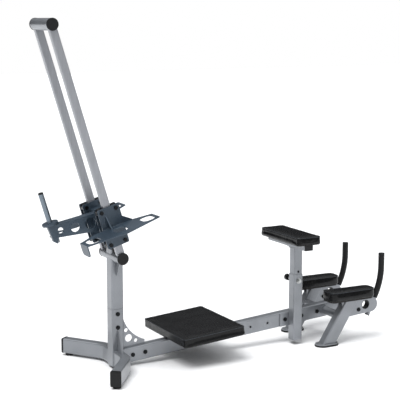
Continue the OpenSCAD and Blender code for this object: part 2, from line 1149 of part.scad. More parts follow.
// A pierced plate, wide in the middle, with a bent rear lip and a web to the side plate
module foot_plate() {
    wide_y = outer_plate_y + plate_t;
    end_n = 194;
    slot_n = 147;
    lip_y0 = 156;
    lip_y1 = 246;
    slanted() {
        translate([0, 0, foot_s - foot_t])
            linear_extrude(foot_t)
                difference() {
                    polygon([
                        [-end_n, -lip_y0], [-106, -wide_y], [106, -wide_y], [end_n, -lip_y0],
                        [end_n, -lip_y1], [0, -288], [-end_n, -lip_y1]]);
                    for (i = [-1 : 1])
                        translate([i * slot_n, -foot_y])
                            rounded_rect(64, 84, 26);
                }
        translate([-end_n - foot_t, 0, foot_s - lip_h])
            rotate([90, 0, 90])
                linear_extrude(foot_t) {
                    translate([-(lip_y0 + lip_y1) / 2, 22])
                        rounded_rect(lip_y1 - lip_y0, 44, 18);
                    translate([-lip_y1, 24])
                        square([lip_y1 - lip_y0, lip_h - 24]);
                }
        translate([0, -outer_plate_y, 0])
            rotate([90, 0, 0])
                linear_extrude(plate_t)
                    polygon([[plate_half, foot_s], [106, foot_s], [plate_half, foot_s + 36]]);
        translate([-26, 0, 0])
            rotate([90, 0, 90])
                linear_extrude(foot_t)
                    polygon([[-wide_y, foot_s], [-wide_y, foot_s + 68], [-wide_y - 36, foot_s]]);
    }
}

module foot_plate_right() {
    color(blue_grey)
        foot_plate();
}

module foot_plate_left() {
    color(blue_grey)
        mirror([0, 1, 0])
            foot_plate();
}

// Side view of the weight arm, shrunk by t at its top, bottom and rear
module arm_outline(t) {
    polygon([
        [-arm_root_n, arm_low_root_s + t], [-arm_root_n, arm_top_root_s - t],
        [-arm_end_n + t, arm_top_end_s - t], [-arm_low_end_n + t, arm_low_end_s + t]]);
}
// Extrudes a shape drawn in the leaning frame's own n and s between two widths
module across(y0, y1) {
    translate([0, y1, 0])
        rotate([90, 0, 0])
            linear_extrude(y1 - y0)
                children();
}
module weight_arm() {
    color(blue_grey)
        slanted()
            difference() {
                union() {
                    across(arm_near_y, arm_far_y)
                        arm_outline(0);
                    across(arm_near_y, arm_lip_y)
                        polygon([
                            [-arm_low_end_n, arm_low_end_s + 2], [-280, 188], [-262, 171],
                            [-255, 196], [-244, 204]]);
                }
                across(arm_near_y + 5, arm_far_y + 1)
                    arm_outline(5);
                across(arm_lip_y, arm_far_y + 1)
                    translate([-12, 0])
                        arm_outline(5);
                for (h = [[-231, 229, 14.5], [-156, 216, 23], [-76, 206, 28]])
                    translate([h[0], 0, h[1]])
                        bar_y(h[2], 120);
                translate([-peg_n, 0, disc_low_s])
                    cylinder(r = disc_r + 0.3, h = 20);
            }
}
module weight_disc() {
    color(blue_grey)
        slanted()
            translate([-peg_n, 0, disc_low_s])
                cylinder(r = disc_r, h = disc_top_s - disc_low_s, $fn = 72);
}
module weight_peg() {
    color(blue_grey)
        slanted()
            translate([-peg_n, 0, disc_top_s])
                cylinder(r = peg_r, h = peg_top_s - disc_top_s);
}

module weight_peg_caps() {
    color(black)
        slanted()
            translate([-peg_n, 0, peg_top_s])
                cylinder(r = peg_cap_r, h = peg_cap_top_s - peg_top_s);
}

lower_post();
upper_post();
splice_sleeves();
rear_leg_right();
rear_leg_left();
end_caps();
rubber_feet();
gussets();
frame_bolts();
main_rail();
tube_plugs();
front_cross_tube();
front_leg_right();
front_leg_left();
front_foot_plates();
elbow_bracket_right();
elbow_bracket_left();
elbow_boards();
elbow_pad_right();
elbow_pad_left();
grip_bar_right();
grip_bar_left();
grip_right();
grip_left();
knee_pad_brackets();
knee_pad_board();
knee_pad();
pad_screws();
guide_rail_right();
guide_rail_left();
lower_cross_tube();
upper_cross_tube();
bumpers();
chest_mount_plate();
chest_outer_post();
clamp_screw();
pin_barrel();
chest_inner_post();
chest_cross_tube();
chest_tube_caps();
chest_pad_board();
chest_pad();
chest_pad_screws();
pull_pin();
pull_pin_knob();
side_plates_right();
side_plates_left();
carriage_crossmembers();
roller_axles();
foot_plate_right();
foot_plate_left();
weight_arm();
weight_disc();
weight_peg();
weight_peg_caps();
rollers_front_top();
rollers_front_low();
rollers_rear_top();
rollers_rear_low();
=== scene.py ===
# %% [markdown]
# A kneeling glute press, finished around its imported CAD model.
# The steel frame, the rails, the carriage and every fastener come from CAD and keep
# their shapes. This lesson gives them their finishes, sews the four cushions, lays the
# weld beads, and sets up the camera, the floor and the lights. Lengths are in metres,
# and millimetres are written as a number times MM.

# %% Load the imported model
import math
import json

import bpy
import numpy as np
from mathutils import Matrix, Vector, noise
from mathutils.bvhtree import BVHTree


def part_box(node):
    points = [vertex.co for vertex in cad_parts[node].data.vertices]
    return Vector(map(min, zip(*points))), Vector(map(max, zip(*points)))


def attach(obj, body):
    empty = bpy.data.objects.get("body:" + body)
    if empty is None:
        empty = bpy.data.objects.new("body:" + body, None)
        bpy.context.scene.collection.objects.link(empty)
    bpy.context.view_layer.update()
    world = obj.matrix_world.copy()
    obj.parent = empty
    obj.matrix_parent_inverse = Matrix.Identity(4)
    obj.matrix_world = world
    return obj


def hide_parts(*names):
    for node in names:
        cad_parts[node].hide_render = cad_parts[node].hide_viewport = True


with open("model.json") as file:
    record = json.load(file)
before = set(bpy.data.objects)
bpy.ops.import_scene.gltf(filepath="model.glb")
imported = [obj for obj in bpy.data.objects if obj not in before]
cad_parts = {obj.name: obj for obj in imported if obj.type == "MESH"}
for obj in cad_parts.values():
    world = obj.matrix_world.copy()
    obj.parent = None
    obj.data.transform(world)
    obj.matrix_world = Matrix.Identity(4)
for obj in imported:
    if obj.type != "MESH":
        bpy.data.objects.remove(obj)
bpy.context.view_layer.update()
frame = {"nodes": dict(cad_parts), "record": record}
scene = bpy.context.scene
MM = 0.001
POST_X = sum(corner.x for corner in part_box("lower_post")) / 2

# %% [markdown]
# The camera is a long portrait lens some six metres away, so that the rails stay nearly
# parallel. It stands behind the user's right side and looks slightly down. Its axes are
# built from the direction it looks in, which keeps the horizon level.

# %% Camera
FORWARD = Vector((0.4607, 0.8738, -0.1554)).normalized()
RIGHT = FORWARD.cross(Vector((0, 0, 1))).normalized()
UPWARD = RIGHT.cross(FORWARD)
camera_data = bpy.data.cameras.new("portrait_lens")
camera_data.sensor_width = 36
camera_data.lens = 102.96
camera_data.clip_end = 60
camera = bpy.data.objects.new("portrait_camera", camera_data)
camera.matrix_world = Matrix.Translation((POST_X - 2.217, -5.1125, 1.724)) @ Matrix(
    (RIGHT, UPWARD, -FORWARD)).transposed().to_4x4()
scene.collection.objects.link(camera)
scene.camera = camera
print("lens", camera_data.lens, "mm")

# %% [markdown]
# Colours are written as sRGB hex, as a paint shop would quote them. Blender's shaders
# work in linear light, so one function converts them.

# %% Colour and node helpers
def linear(hex_colour):
    """sRGB hex to linear RGBA."""
    channels = [int(hex_colour[i:i + 2], 16) / 255 for i in (1, 3, 5)]
    return [c / 12.92 if c <= 0.04045 else ((c + 0.055) / 1.055) ** 2.4
            for c in channels] + [1.0]


def add(tree, kind, settings=(), links=()):
    """Adds one node, sets its values and wires its inputs."""
    made = tree.nodes.new(kind)
    for key, value in dict(settings).items():
        if isinstance(key, int) or key in made.inputs:
            made.inputs[key].default_value = value
        else:
            setattr(made, key, value)
    for key, source in dict(links).items():
        tree.links.new(source, made.inputs[key])
    return made


def surface(name, colour, roughness, metallic=0.0, **sockets):
    """A material with one Principled shader whose uniform values sit on its own sockets."""
    made = bpy.data.materials.new(name)
    made.use_nodes = True
    shader = made.node_tree.nodes["Principled BSDF"]
    shader.inputs["Base Color"].default_value = linear(colour)
    shader.inputs["Roughness"].default_value = roughness
    shader.inputs["Metallic"].default_value = metallic
    for key, value in sockets.items():
        shader.inputs[key.replace("_", " ")].default_value = value
    return made, made.node_tree, shader


def place(tree, stretch=(1, 1, 1), turn=(0, 0, 0)):
    """Object coordinates in metres, turned and stretched, so a pattern has a real size."""
    where = add(tree, "ShaderNodeTexCoord")
    return add(tree, "ShaderNodeMapping", {"Scale": stretch, "Rotation": turn},
               {"Vector": where.outputs["Object"]}).outputs["Vector"]


def blend_colours(tree, shader, factor, low, high, start=0.35, stop=0.65):
    """Drives the base colour from one hex colour to another."""
    ramp = add(tree, "ShaderNodeValToRGB", {}, {"Fac": factor})
    first, last = ramp.color_ramp.elements
    first.position, last.position = start, stop
    first.color, last.color = linear(low), linear(high)
    tree.links.new(ramp.outputs["Color"], shader.inputs["Base Color"])


def vary_roughness(tree, shader, factor, low, high):
    """Maps a 0 to 1 pattern onto the shader's roughness."""
    spread = add(tree, "ShaderNodeMapRange", {"To Min": low, "To Max": high}, {"Value": factor})
    tree.links.new(spread.outputs["Result"], shader.inputs["Roughness"])


def raise_bumps(tree, shader, height, depth, strength=1.0):
    """A bump whose height is in metres."""
    bump = add(tree, "ShaderNodeBump", {"Distance": depth, "Strength": strength},
               {"Height": height})
    tree.links.new(bump.outputs["Normal"], shader.inputs["Normal"])


# %% [markdown]
# Powder coat is a baked plastic skin over steel, sprayed as dust and melted in an oven.
# Aluminium flake in it gives the silver glint, and the melt leaves a faint orange peel.
# A partly metallic base with a thin clear coat shows both: broad soft highlights that
# follow the rounded tube edges, over a slightly uneven grey.

# %% Silver powder coat on the frame
def powder_coat(name, dark, light, roughness, metallic):
    """Flake, orange peel and faint shade drift over baked paint."""
    made, tree, shader = surface(name, light, roughness, metallic,
                                 Coat_Weight=0.25, Coat_Roughness=0.22)
    # the flake is 0.1 mm wide on the real coat, and drawn at 0.7 mm so that it shows
    flake = add(tree, "ShaderNodeTexNoise", {"Scale": 1 / (0.7 * MM), "Detail": 1.0},
                {"Vector": place(tree)})
    drift = add(tree, "ShaderNodeTexNoise", {"Scale": 1 / (180 * MM), "Detail": 2.0},
                {"Vector": place(tree)})
    mixed = add(tree, "ShaderNodeMath", {"operation": "MULTIPLY_ADD", 1: 0.35},
                {0: flake.outputs["Fac"], 2: drift.outputs["Fac"]})
    blend_colours(tree, shader, mixed.outputs["Value"], dark, light, 0.45, 0.9)
    vary_roughness(tree, shader, drift.outputs["Fac"], roughness - 0.05, roughness + 0.06)
    # orange peel has cells of about 2.5 mm
    peel = add(tree, "ShaderNodeTexNoise", {"Scale": 1 / (2.5 * MM), "Detail": 0.0},
               {"Vector": place(tree)})
    raise_bumps(tree, shader, peel.outputs["Fac"], 0.05 * MM)
    return made


silver_powder_coat = powder_coat("silver_powder_coated_steel", "#7F8286", "#95989D", 0.35, 0.6)

# %% [markdown]
# The two guide rails carry the rollers, so their paint is a little smoother and paler,
# with fine burnished lines along the travel where the rollers polish it. A noise
# stretched along the rail's own slant draws those lines.

# %% Guide rail finish
RAIL_TILT = math.radians(16.75)
rail_coat, tree, shader = surface("burnished_silver_powder_coat", "#9C9EA3", 0.36, 0.5,
                                  Coat_Weight=0.2, Coat_Roughness=0.2)
# lines 1.2 mm apart and 150 mm long
streaks = add(tree, "ShaderNodeTexNoise", {"Scale": 1.0, "Detail": 2.0},
              {"Vector": place(tree, (1 / (1.2 * MM), 1 / (1.2 * MM), 1 / (150 * MM)),
                               (0, RAIL_TILT, 0))})
blend_colours(tree, shader, streaks.outputs["Fac"], "#8F9196", "#A3A5AA", 0.3, 0.7)
vary_roughness(tree, shader, streaks.outputs["Fac"], 0.3, 0.42)
raise_bumps(tree, shader, streaks.outputs["Fac"], 0.03 * MM)

# %% [markdown]
# The carriage is laser-cut plate with a darker, bluer powder coat. It is the same
# process as the frame's, so it shares its recipe, with less flake and a deeper grey.

# %% Carriage and weight peg finishes
carriage_coat = powder_coat("blue_grey_powder_coated_plate", "#33404C", "#42505D", 0.4, 0.35)

# The weight peg is turned bar: fine rings round it, 0.4 mm apart, drawn at 1.5 mm.
turned_peg, tree, shader = surface("turned_satin_steel", "#78828B", 0.34, 1.0)
rings = add(tree, "ShaderNodeTexWave", {"wave_type": "BANDS", "bands_direction": "Z",
                                        "Scale": 1 / (1.5 * MM) / 6.2832, "Distortion": 0.6},
            {"Vector": place(tree, (1, 1, 1), (0, RAIL_TILT, 0))})
vary_roughness(tree, shader, rings.outputs["Fac"], 0.27, 0.42)
raise_bumps(tree, shader, rings.outputs["Fac"], 0.02 * MM)

# %% [markdown]
# Small steel parts come in two platings. Zinc is bright with a faint crystalline
# mottle. Black oxide is a converted, slightly oily skin that keeps the steel's gloss.

# %% Plated steel
zinc_plate, tree, shader = surface("zinc_plated_steel", "#B9BBBA", 0.28, 1.0)
# the crystals are about 1.5 mm across
spangle = add(tree, "ShaderNodeTexVoronoi", {"Scale": 1 / (1.5 * MM)}, {"Vector": place(tree)})
vary_roughness(tree, shader, spangle.outputs["Distance"], 0.2, 0.42)

black_oxide, tree, shader = surface("black_oxide_steel", "#1E1F21", 0.36, 0.8)
handling = add(tree, "ShaderNodeTexNoise", {"Scale": 1 / (6 * MM), "Detail": 3.0},
               {"Vector": place(tree)})
vary_roughness(tree, shader, handling.outputs["Fac"], 0.28, 0.46)

# %% [markdown]
# Caps, plugs and the knob are injection-moulded polyethylene with a spark-eroded
# texture; the rollers are turned nylon, glossier, with tool rings; the feet and stops
# are moulded rubber, dull and faintly dusty; the grips are a dipped rubber sleeve.

# %% Plastics and rubbers
def moulded(name, dark, light, roughness, grain, depth, coarse=9 * MM, **sockets):
    """Black moulded polymer: a fine grain of a stated size over a soft colour drift."""
    made, tree, shader = surface(name, light, roughness, Specular_IOR_Level=0.3, **sockets)
    pits = add(tree, "ShaderNodeTexNoise", {"Scale": 1 / grain, "Detail": 2.0},
               {"Vector": place(tree)})
    cloud = add(tree, "ShaderNodeTexNoise", {"Scale": 1 / coarse, "Detail": 3.0},
                {"Vector": place(tree)})
    blend_colours(tree, shader, cloud.outputs["Fac"], dark, light)
    vary_roughness(tree, shader, cloud.outputs["Fac"], roughness - 0.07, roughness + 0.08)
    raise_bumps(tree, shader, pits.outputs["Fac"], depth)
    return made


cap_plastic = moulded("moulded_polyethylene", "#0E0F10", "#17181A", 0.46, 0.9 * MM, 0.05 * MM)
roller_nylon = moulded("turned_black_nylon", "#0D0D0E", "#151517", 0.32, 1.4 * MM, 0.03 * MM)
foot_rubber = moulded("moulded_rubber", "#101111", "#1A1A1A", 0.72, 1.2 * MM, 0.08 * MM, 25 * MM)
grip_rubber = moulded("dipped_grip_rubber", "#0B0C0D", "#131416", 0.5, 1.1 * MM, 0.09 * MM, 30 * MM)

# %% [markdown]
# The cushions are covered in expanded vinyl, which is a PVC skin embossed with a leather
# grain over a knitted back. The grain is a cell pattern with soft valleys, so a Voronoi
# distance makes it. The boards under them are plywood with the cover's hem wrapped over.

# %% Vinyl and board
def grained_vinyl(name, dark, light, roughness):
    """Leather-grained PVC with a dull sheen."""
    made, tree, shader = surface(name, light, roughness, Specular_IOR_Level=0.28)
    # the grain's cells are 1.2 mm across, and drawn at 2.2 mm so that they show
    cells = add(tree, "ShaderNodeTexVoronoi", {"feature": "SMOOTH_F1", "Scale": 1 / (2.2 * MM),
                                               "Smoothness": 0.4}, {"Vector": place(tree)})
    creases = add(tree, "ShaderNodeTexNoise", {"Scale": 1 / (14 * MM), "Detail": 4.0},
                  {"Vector": place(tree)})
    height = add(tree, "ShaderNodeMath", {"operation": "MULTIPLY_ADD", 1: 0.5},
                 {0: creases.outputs["Fac"], 2: cells.outputs["Distance"]})
    blend_colours(tree, shader, creases.outputs["Fac"], dark, light)
    vary_roughness(tree, shader, cells.outputs["Distance"], roughness - 0.08, roughness + 0.1)
    raise_bumps(tree, shader, height.outputs["Value"], 0.16 * MM)
    return made


pad_vinyl = grained_vinyl("grained_black_vinyl", "#030304", "#060708", 0.26)
# the welt is black vinyl like the cover; its lighter grey is a painted highlight along the pads'
# top edges, standing in for the lit shoulder
piping_painted_highlight = grained_vinyl("piping_vinyl_painted_highlight", "#2A2D31", "#363A40", 0.3)
pad_thread = moulded("bonded_nylon_thread", "#1A1C1F", "#26282B", 0.55, 0.5 * MM, 0.05 * MM)

hem_cloth, tree, shader = surface("wrapped_vinyl_hem_on_plywood", "#211F1D", 0.75)
# a backing cloth of 1 mm threads, drawn at 2 mm
weave = add(tree, "ShaderNodeTexChecker", {"Scale": 1 / (2 * MM), "Color1": linear("#1A1918"),
                                           "Color2": linear("#262422")}, {"Vector": place(tree)})
tree.links.new(weave.outputs["Color"], shader.inputs["Base Color"])
raise_bumps(tree, shader, weave.outputs["Fac"], 0.05 * MM)

# %% [markdown]
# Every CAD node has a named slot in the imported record, so its finish is looked up there
# instead of being listed twice.

# %% Finish every CAD node
FINISH = {
    "frame_paint": silver_powder_coat, "rail_paint": rail_coat, "carriage_paint": carriage_coat,
    "peg_steel": turned_peg, "zinc_steel": zinc_plate, "black_bolts": black_oxide,
    "black_plastic": cap_plastic, "roller_nylon": roller_nylon, "rubber": foot_rubber,
    "grip_rubber": grip_rubber, "pad_board": hem_cloth, "pad_vinyl": pad_vinyl,
}
for part in frame["record"]["subparts"]:
    for socket in frame["nodes"][part["node"]].material_slots:
        socket.material = FINISH[part["material_slot"]]


# %% [markdown]
# New pieces are plain meshes given to a CAD body, so that they move with it.

# %% Piece helper
def piece(name, points, faces, finish, body, smooth=True):
    """A mesh object from points in metres that rides on a CAD body."""
    mesh = bpy.data.meshes.new(name)
    mesh.from_pydata([tuple(p) for p in points], [], faces)
    mesh.update()
    made = bpy.data.objects.new(name, mesh)
    scene.collection.objects.link(made)
    mesh.materials.append(finish)
    mesh.polygons.foreach_set("use_smooth", [smooth] * len(mesh.polygons))
    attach(made, body)
    return made


def tube(path, radii, sides=8, closed=False):
    """Points and faces of a round tube that follows a path of Vectors."""
    count = len(path)
    points, faces = [], []
    for i, here in enumerate(path):
        ahead = path[(i + 1) % count] if closed else path[min(i + 1, count - 1)]
        behind = path[i - 1] if closed or i else path[0]
        along = (ahead - behind).normalized()
        side = along.cross(Vector((0.13, 0.29, 0.95))).normalized()
        other = along.cross(side)
        for k in range(sides):
            turn = math.tau * k / sides
            points.append(here + (side * math.cos(turn) + other * math.sin(turn)) * radii[i])
    for i in range(count if closed else count - 1):
        j = (i + 1) % count
        for k in range(sides):
            m = (k + 1) % sides
            faces.append((i * sides + k, i * sides + m, j * sides + m, j * sides + k))
    if not closed:
        faces.append(tuple(range(sides))[::-1])
        faces.append(tuple((count - 1) * sides + k for k in range(sides)))
    return points, faces


# %% [markdown]
# A cushion starts as the outline of its board with rounded corners. The cutter's
# outline is drawn once, and the sewn lines are the same outline moved inwards.

# %% Outlines
def rounded_outline(corners, radii, step=6.0):
    """Points round a convex outline with rounded corners, in millimetres, about evenly spaced."""
    turns = []
    count = len(corners)
    for i, corner in enumerate(corners):
        here = Vector(corner)
        back = (Vector(corners[i - 1]) - here).normalized()
        on = (Vector(corners[(i + 1) % count]) - here).normalized()
        half = back.angle(on) / 2
        centre = here + (back + on).normalized() * radii[i] / math.sin(half)
        first = here + back * radii[i] / math.tan(half) - centre
        last = here + on * radii[i] / math.tan(half) - centre
        steps = max(4, round(radii[i] * (math.pi - 2 * half) / 4))
        for k in range(steps + 1):
            turns.append(centre + (first.lerp(last, k / steps)).normalized() * radii[i])
    filled = []
    for i, here in enumerate(turns):
        ahead = turns[(i + 1) % len(turns)]
        parts = max(1, round((ahead - here).length / step))
        filled += [here.lerp(ahead, k / parts) for k in range(parts)]
    return filled


def moved_in(outline, inset):
    """The outline moved inwards by a distance."""
    count = len(outline)
    moved = []
    for i, here in enumerate(outline):
        along = (outline[(i + 1) % count] - outline[i - 1]).normalized()
        moved.append(here + Vector((-along.y, along.x)) * inset)
    return moved


# %% [markdown]
# The foam block is lofted from rings, from its flat underside up a straight side and
# over a rounded shoulder to a low crown. It is remeshed evenly and then inflated as
# cloth with its underside held, which rounds the panels the way stretched vinyl does.
# The simulated movement is capped, so that the pad keeps its size.

# %% Foam block and simulation
def foam_block(outline, height, shoulder, crown):
    """Points and faces of a closed block, its underside at z 0, in millimetres."""
    profile = [(1.5, 0.0), (0.3, 1.4), (0.0, 4.0), (0.0, height - shoulder)]
    profile += [(shoulder * (1 - math.cos(a)), height - shoulder * (1 - math.sin(a)))
                for a in (math.radians(d) for d in (22, 45, 68, 90))]
    middle = sum(outline, Vector((0, 0))) / len(outline)
    rings = [[Vector((p.x, p.y, z)) for p in moved_in(outline, inset)] for inset, z in profile]
    edge = rings[-1]
    for share in (0.35, 0.7):
        rings.append([Vector((*(Vector((p.x, p.y)).lerp(middle, share)),
                              height + crown * (1 - (1 - share) ** 2))) for p in edge])
    count = len(outline)
    points = [p for ring in rings for p in ring]
    points += [Vector((middle.x, middle.y, 0)), Vector((middle.x, middle.y, height + crown))]
    faces = []
    for r in range(len(rings) - 1):
        for k in range(count):
            m = (k + 1) % count
            faces.append((r * count + k, r * count + m, (r + 1) * count + m, (r + 1) * count + k))
    top = (len(rings) - 1) * count
    for k in range(count):
        m = (k + 1) % count
        faces.append((m, k, len(points) - 2))
        faces.append((top + k, top + m, len(points) - 1))
    return points, faces


def settled_mesh(made):
    """Replaces a piece's mesh with the result of its modifiers."""
    graph = bpy.context.evaluated_depsgraph_get()
    result = bpy.data.meshes.new_from_object(made.evaluated_get(graph))
    made.modifiers.clear()
    made.data = result


def coordinates(made):
    """The mesh's points as an array in metres."""
    flat = np.zeros(len(made.data.vertices) * 3)
    made.data.vertices.foreach_get("co", flat)
    return flat.reshape(-1, 3)


def remeshed(made, voxel):
    """Evens the mesh out into small squares."""
    evener = made.modifiers.new("even", "REMESH")
    evener.mode, evener.voxel_size, evener.use_smooth_shade = "VOXEL", voxel, True
    settled_mesh(made)


def inflate(cushions, cap):
    """Runs one cloth simulation over all the cushions, then caps how far each point went."""
    before = {}
    for made in cushions:
        before[made.name] = coordinates(made)
        held = made.vertex_groups.new(name="held")
        low = np.nonzero(before[made.name][:, 2] < 5 * MM)[0]
        held.add([int(i) for i in low], 1.0, "REPLACE")
        cloth = made.modifiers.new("swell", "CLOTH")
        cloth.settings.use_pressure = True
        cloth.settings.uniform_pressure_force = 4
        cloth.settings.vertex_group_mass = "held"
        cloth.settings.effector_weights.gravity = 0
        cloth.settings.quality = 4
        cloth.collision_settings.use_collision = False
        cloth.point_cache.frame_start, cloth.point_cache.frame_end = 1, 20
    for number in range(1, 21):
        scene.frame_set(number)
    for made in cushions:
        settled_mesh(made)
        moved = coordinates(made) - before[made.name]
        reach = np.linalg.norm(moved, axis=1, keepdims=True) + 1e-12
        moved *= cap * np.tanh(reach / cap) / reach
        made.data.vertices.foreach_set("co", (before[made.name] + moved).ravel())
        made.data.update()
        print(made.name, "swelled by", round(float(np.abs(moved).max()) / MM, 2), "mm")
    scene.frame_set(1)


# %% [markdown]
# The four pads: a wide thin one to kneel on, a bar-shaped one for the chest, and two
# tapered ones for the elbows. Each is described in millimetres on its own board, and a
# matrix lays the board where CAD has it. The knee pad follows the rail's slope.

# %% Pad list
RAIL_RISE = math.radians(4.75)
# the cover of the knee and chest pads is pulled down over the board's edge by this much
HEM = 11


def flat_at(x, y, z):
    """A board that lies level, its middle at a point in metres."""
    return Matrix.Translation((x, y, z))


def box_middle(node):
    """A CAD node's middle and its lowest and highest corners."""
    low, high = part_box(node)
    return (low + high) / 2, low, high


chest_mid, chest_low, chest_high = box_middle("chest_pad")
elbow_mid, elbow_low, elbow_high = box_middle("elbow_pad_right")
# the main rail's own frame starts at the post's front face; the pad lies along it
RAIL_START = (POST_X + 32 * MM, 0, 15.8 * MM)
KNEE_ALONG_RAIL = 419.44
KNEE_ABOVE_RAIL = 93.2
knee_place = (Matrix.Translation(RAIL_START)
              @ Matrix.Rotation(-RAIL_RISE, 4, "Y")
              @ Matrix.Translation((KNEE_ALONG_RAIL * MM, 0, (KNEE_ABOVE_RAIL - HEM) * MM)))
chest_l, chest_w = ((chest_high - chest_low) / MM).xy
elbow_l, elbow_w = ((elbow_high - elbow_low) / MM).xy


def rectangle(length, width, radius):
    """Outline of a rectangle about its middle, its four corners rounded alike."""
    x, y = length / 2, width / 2
    return rounded_outline([(-x, -y), (x, -y), (x, y), (-x, y)], [radius] * 4)


# the elbow pads narrow by this much on each side towards the grips
ELBOW_TAPER = 9
elbow_outline = rounded_outline(
    [(-elbow_l / 2, -elbow_w / 2), (elbow_l / 2, -elbow_w / 2 + ELBOW_TAPER),
     (elbow_l / 2, elbow_w / 2 - ELBOW_TAPER), (-elbow_l / 2, elbow_w / 2)], [22, 40, 40, 22])
chest_h = (chest_high.z - chest_low.z) / MM + HEM
elbow_h = (elbow_high.z - elbow_low.z) / MM
KNEE_FOAM = 34
# name: outline, height, shoulder, crown, sewn line's distance from the edge, body, place
PADS = {
    "knee_pad": (rectangle(350, 485, 20), KNEE_FOAM + HEM, 7, 0.5, 13, "frame", knee_place),
    "chest_pad": (rectangle(chest_l, chest_w, 22), chest_h, 12, 1.5, 24, "chest_support",
                  flat_at(chest_mid.x, chest_mid.y, chest_low.z - HEM * MM)),
    "elbow_pad_right": (elbow_outline, elbow_h, 13, 1.5, 24, "frame",
                        flat_at(elbow_mid.x, elbow_mid.y, elbow_low.z)),
    "elbow_pad_left": (elbow_outline, elbow_h, 13, 1.5, 24, "frame",
                       flat_at(elbow_mid.x, -elbow_mid.y, elbow_low.z)),
}
cushions = {}
# the foam starts this much smaller than its cover, because it swells
UNDERSIZE = 1.0
VOXEL = 5 * MM
MOST_SWELL = 4 * MM
for name, (outline, height, shoulder, crown, sewn, body, where) in PADS.items():
    points, faces = foam_block(moved_in(outline, UNDERSIZE), height - UNDERSIZE, shoulder, crown)
    made = piece(name + "_cushion", [p * MM for p in points], faces, pad_vinyl, body)
    remeshed(made, VOXEL)
    cushions[name] = made
inflate(list(cushions.values()), MOST_SWELL)

# %% [markdown]
# After the swelling the pad is fitted back to its cut size, because stretched vinyl
# follows its board. Then come the things a remesh would have erased. The top panel is
# sewn down along a line inside the shoulder, so the vinyl dips there; the corners gather
# into small puckers; and the whole surface waves very slightly over its foam.

# %% Sewn lines, puckers and ripples
def near_line(points, line):
    """Distance in the board's plane from each point to a closed line."""
    start = np.array([tuple(p) for p in line])
    span = np.roll(start, -1, axis=0) - start
    best = np.full(len(points), 1e9)
    for a, s in zip(start, span):
        share = np.clip(((points - a) @ s) / (s @ s + 1e-12), 0, 1)
        best = np.minimum(best, np.linalg.norm(points - a - share[:, None] * s, axis=1))
    return best


def sew(made, outline, height, sewn, shoulder):
    """Fits the swollen pad to its cut size, presses in the sewn line and ripples the cover."""
    thicker = made.modifiers.new("finer", "SUBSURF")
    thicker.levels = thicker.render_levels = 1
    settled_mesh(made)
    points = coordinates(made) / MM
    # the cover is pulled tight over the board, so the finished pad has the board's outline,
    # its top has full height at the sewn line, and the swelling is left as a soft unevenness
    low = [min(p.x for p in outline), min(p.y for p in outline), 0.0]
    high = [max(p.x for p in outline), max(p.y for p in outline), height]
    least, most = points.min(axis=0), points.max(axis=0)
    at_seam = near_line(points[:, :2], moved_in(outline, sewn)) < 3
    most[2] = np.median(points[at_seam & (points[:, 2] > height * 0.6), 2])
    points = low + (points - least) / (most - least) * (np.array(high) - low)
    plan = points[:, :2]
    edge = near_line(plan, outline)
    on_top = np.clip((points[:, 2] - height * 0.6) / (height * 0.2), 0, 1)
    rounding = np.clip(1 - edge / shoulder, 0, 1)
    cut_height = height - shoulder * (1 - np.sqrt(1 - rounding ** 2))
    points[:, 2] += 0.75 * on_top * (cut_height - points[:, 2])
    normals = np.zeros(points.size)
    made.data.vertices.foreach_get("normal", normals)
    normals = normals.reshape(-1, 3)
    groove_width, groove_depth = 2.6, 1.7
    groove = np.exp(-(near_line(plan, moved_in(outline, sewn)) / groove_width) ** 2)
    points[:, 2] -= groove_depth * groove * on_top
    raised = np.array([noise.noise(Vector(p) / 55 + Vector((3.1, 7.7, 1.3))) for p in points])
    gather = np.array([noise.noise(Vector((p[0] / 9, p[1] / 9, p[2] / 40))) for p in points])
    lift = 0.9 * raised + 0.45 * gather * np.exp(-((edge - 8) / 9) ** 2)
    points += normals * (lift * (points[:, 2] > 3))[:, None]
    made.data.vertices.foreach_set("co", (points * MM).ravel())
    made.data.update()


for name, (outline, height, shoulder, crown, sewn, body, where) in PADS.items():
    sew(cushions[name], outline, height, sewn, shoulder)

# %% [markdown]
# A welt of piping closes the seam between the top panel and the side, and a row of
# stitches runs along the sewn line. Both are laid on the finished cushion by asking for
# the nearest point of its surface, so they follow the swelling.

# %% Piping and stitches
def on_surface(tree, point):
    """The nearest point of a mesh and its normal there."""
    spot, normal, _, _ = tree.find_nearest(point)
    return spot, normal


def resampled(line, pitch):
    """The closed line again, with a point every pitch."""
    lengths = [(line[(i + 1) % len(line)] - p).length for i, p in enumerate(line)]
    total = sum(lengths)
    count = round(total / pitch)
    result, i, walked = [], 0, 0.0
    for k in range(count):
        goal = total * k / count
        while walked + lengths[i] < goal:
            walked += lengths[i]
            i += 1
        result.append(line[i].lerp(line[(i + 1) % len(line)], (goal - walked) / lengths[i]))
    return result


